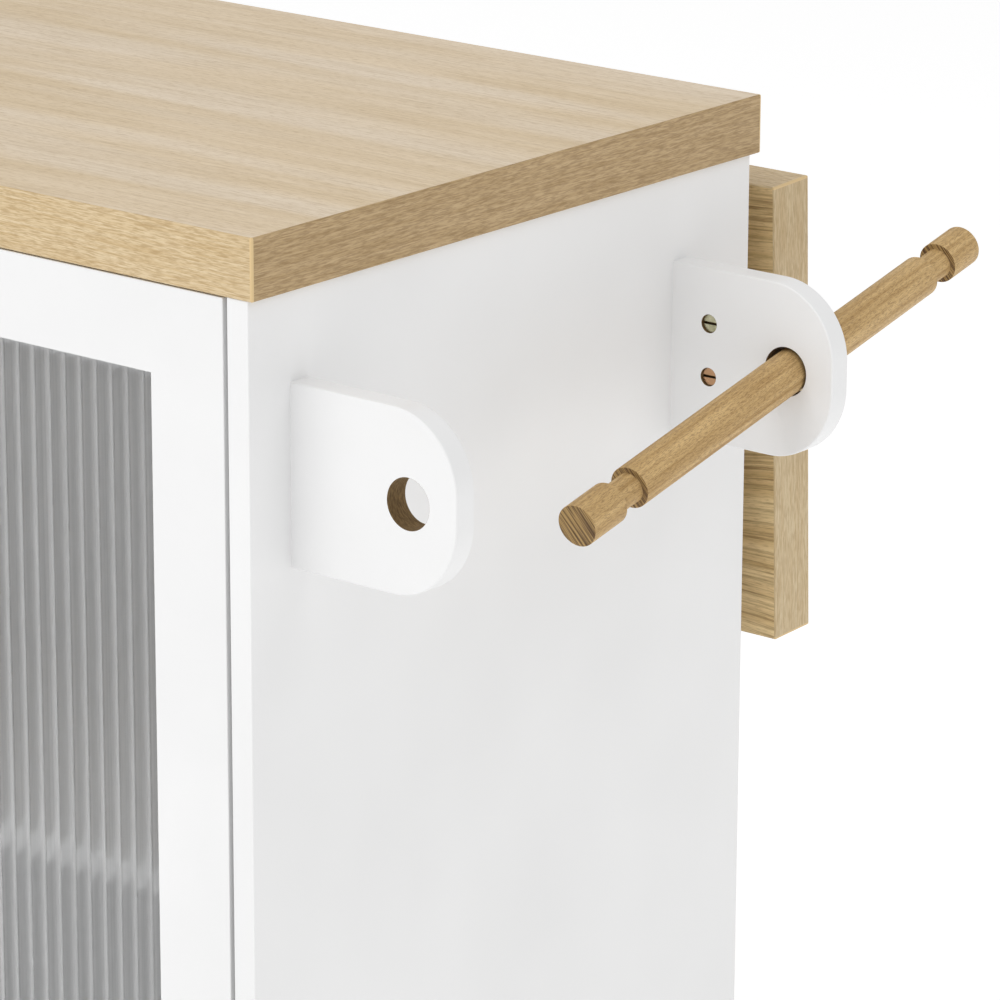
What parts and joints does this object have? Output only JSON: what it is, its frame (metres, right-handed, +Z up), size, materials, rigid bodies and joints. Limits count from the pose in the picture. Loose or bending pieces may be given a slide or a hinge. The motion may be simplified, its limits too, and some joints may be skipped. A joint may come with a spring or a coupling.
{
  "type": "kitchen trolley table",
  "caption": "White kitchen trolley cabinet with wood-look worktop, fluted doors, folding rear leaf and a wooden towel bar in D-shaped side brackets.",
  "frame": {"origin": "middle of the object's box, at floor level", "axes": "+X along the worktop to the towel bar side, +Y to the drop leaf at the back, +Z up"},
  "size_m": [1.111, 0.5878, 0.9],
  "materials": {
    "oak_foil": "satin",
    "white_board": "satin",
    "white_lacquer": "satin",
    "fluted_glass": "gloss",
    "white_plastic": "matte",
    "beech": "satin",
    "brass_plated": "satin",
    "nylon": "matte",
    "zinc_steel": "satin",
    "grey_steel": "satin",
    "grey_tyre": "matte",
    "grey_plastic": "matte"
  },
  "bodies": {
    "cabinet": {"side_panel_right": "white_board", "side_panel_left": "white_board", "door_pivot_pins": "zinc_steel", "back_panel": "white_board", "divider": "white_board", "shelf_pins": "zinc_steel", "cam_locks": "zinc_steel", "cam_bolts": "zinc_steel", "bracket_bolts": "zinc_steel", "shelf_right": "white_board", "shelf_left": "white_board", "worktop_angles": "zinc_steel", "worktop": "oak_foil", "towel_bracket_front": "white_lacquer", "towel_bracket_rear": "white_lacquer", "barrel_nuts": "brass_plated", "magnet_catches": "nylon", "fold_legs": "grey_steel", "leg_screws": "zinc_steel", "fold_pins": "zinc_steel", "rear_rail": "white_board", "front_rail": "white_board", "castor_plates": "zinc_steel", "castor_screws": "zinc_steel", "bottom_panel": "white_board"},
    "door_left": {"door_frame_left": "white_lacquer", "fluted_pane_left": "fluted_glass", "glazing_bead_left": "white_plastic", "door_knob_left": "beech", "knob_screw_left": "zinc_steel", "door_bushes_left": "nylon", "striker_plate_left": "zinc_steel"},
    "strut_left": {"fold_strut_left": "grey_steel"},
    "door_right": {"door_frame_right": "white_lacquer", "fluted_pane_right": "fluted_glass", "glazing_bead_right": "white_plastic", "door_knob_right": "beech", "knob_screw_right": "zinc_steel", "door_bushes_right": "nylon", "striker_plate_right": "zinc_steel"},
    "strut_right": {"fold_strut_right": "grey_steel"},
    "leaf": {"drop_leaf": "oak_foil", "fold_arms": "grey_steel", "arm_screws": "zinc_steel"},
    "bar": {"towel_bar": "beech"},
    "fork_front_left": {"castor_fork_front_left": "zinc_steel", "castor_axle_front_left": "zinc_steel"},
    "wheel_front_left": {"castor_wheel_front_left": "grey_tyre"},
    "brake_front_left": {"brake_lever_front_left": "grey_plastic"},
    "fork_front_right": {"castor_fork_front_right": "zinc_steel", "castor_axle_front_right": "zinc_steel"},
    "wheel_front_right": {"castor_wheel_front_right": "grey_tyre"},
    "brake_front_right": {"brake_lever_front_right": "grey_plastic"},
    "fork_rear_left": {"castor_fork_rear_left": "zinc_steel", "castor_axle_rear_left": "zinc_steel"},
    "wheel_rear_left": {"castor_wheel_rear_left": "grey_tyre"},
    "fork_rear_right": {"castor_fork_rear_right": "zinc_steel", "castor_axle_rear_right": "zinc_steel"},
    "wheel_rear_right": {"castor_wheel_rear_right": "grey_tyre"}
  },
  "joints": [
    {"name": "door_left_swing", "type": "hinge", "parent": "cabinet", "child": "door_left", "pos_m": [-0.5265, -0.2619, 0.093], "axis": [0, 0, -1], "range_deg": [0, 105]},
    {"name": "door_right_swing", "type": "hinge", "parent": "cabinet", "child": "door_right", "pos_m": [0.4155, -0.2619, 0.093], "axis": [0, 0, 1], "range_deg": [0, 105]},
    {"name": "leaf_fold", "type": "hinge", "parent": "cabinet", "child": "leaf", "pos_m": [-0.0555, 0.1756, 0.8468], "axis": [1, 0, 0], "range_deg": [0, 87.8]},
    {"name": "strut_left_turn", "type": "hinge", "parent": "cabinet", "child": "strut_left", "pos_m": [-0.3855, 0.1756, 0.7418], "axis": [1, 0, 0], "range_deg": [0, 133.84]},
    {"name": "strut_right_turn", "type": "hinge", "parent": "cabinet", "child": "strut_right", "pos_m": [0.2745, 0.1756, 0.7418], "axis": [1, 0, 0], "range_deg": [0, 133.84]},
    {"name": "bar_slide", "type": "slide", "parent": "cabinet", "child": "bar", "axis": [0.0489, -0.9805, -0.1906], "range_m": [-0.2, 0.1]},
    {"name": "swivel_front_left", "type": "hinge", "parent": "cabinet", "child": "fork_front_left", "pos_m": [-0.4955, -0.2099, 0.067], "axis": [0, 0, 1], "continuous": true},
    {"name": "roll_front_left", "type": "hinge", "parent": "fork_front_left", "child": "wheel_front_left", "pos_m": [-0.4955, -0.1919, 0.025], "axis": [1, 0, 0], "continuous": true},
    {"name": "press_brake_front_left", "type": "hinge", "parent": "fork_front_left", "child": "brake_front_left", "pos_m": [-0.4955, -0.1779, 0.055], "axis": [-1, 0, 0], "range_deg": [0, 25]},
    {"name": "swivel_front_right", "type": "hinge", "parent": "cabinet", "child": "fork_front_right", "pos_m": [0.3845, -0.2099, 0.067], "axis": [0, 0, 1], "continuous": true},
    {"name": "roll_front_right", "type": "hinge", "parent": "fork_front_right", "child": "wheel_front_right", "pos_m": [0.3845, -0.1919, 0.025], "axis": [1, 0, 0], "continuous": true},
    {"name": "press_brake_front_right", "type": "hinge", "parent": "fork_front_right", "child": "brake_front_right", "pos_m": [0.3845, -0.1779, 0.055], "axis": [-1, 0, 0], "range_deg": [0, 25]},
    {"name": "swivel_rear_left", "type": "hinge", "parent": "cabinet", "child": "fork_rear_left", "pos_m": [-0.4955, 0.1201, 0.067], "axis": [0, 0, 1], "continuous": true},
    {"name": "roll_rear_left", "type": "hinge", "parent": "fork_rear_left", "child": "wheel_rear_left", "pos_m": [-0.4955, 0.1381, 0.025], "axis": [1, 0, 0], "continuous": true},
    {"name": "swivel_rear_right", "type": "hinge", "parent": "cabinet", "child": "fork_rear_right", "pos_m": [0.3845, 0.1201, 0.067], "axis": [0, 0, 1], "continuous": true},
    {"name": "roll_rear_right", "type": "hinge", "parent": "fork_rear_right", "child": "wheel_rear_right", "pos_m": [0.3845, 0.1381, 0.025], "axis": [1, 0, 0], "continuous": true}
  ],
  "couplings": [
    {"joint": "strut_left_turn", "follows": "leaf_fold", "ratio": 1.5238},
    {"joint": "strut_right_turn", "follows": "leaf_fold", "ratio": 1.5238}
  ]
}
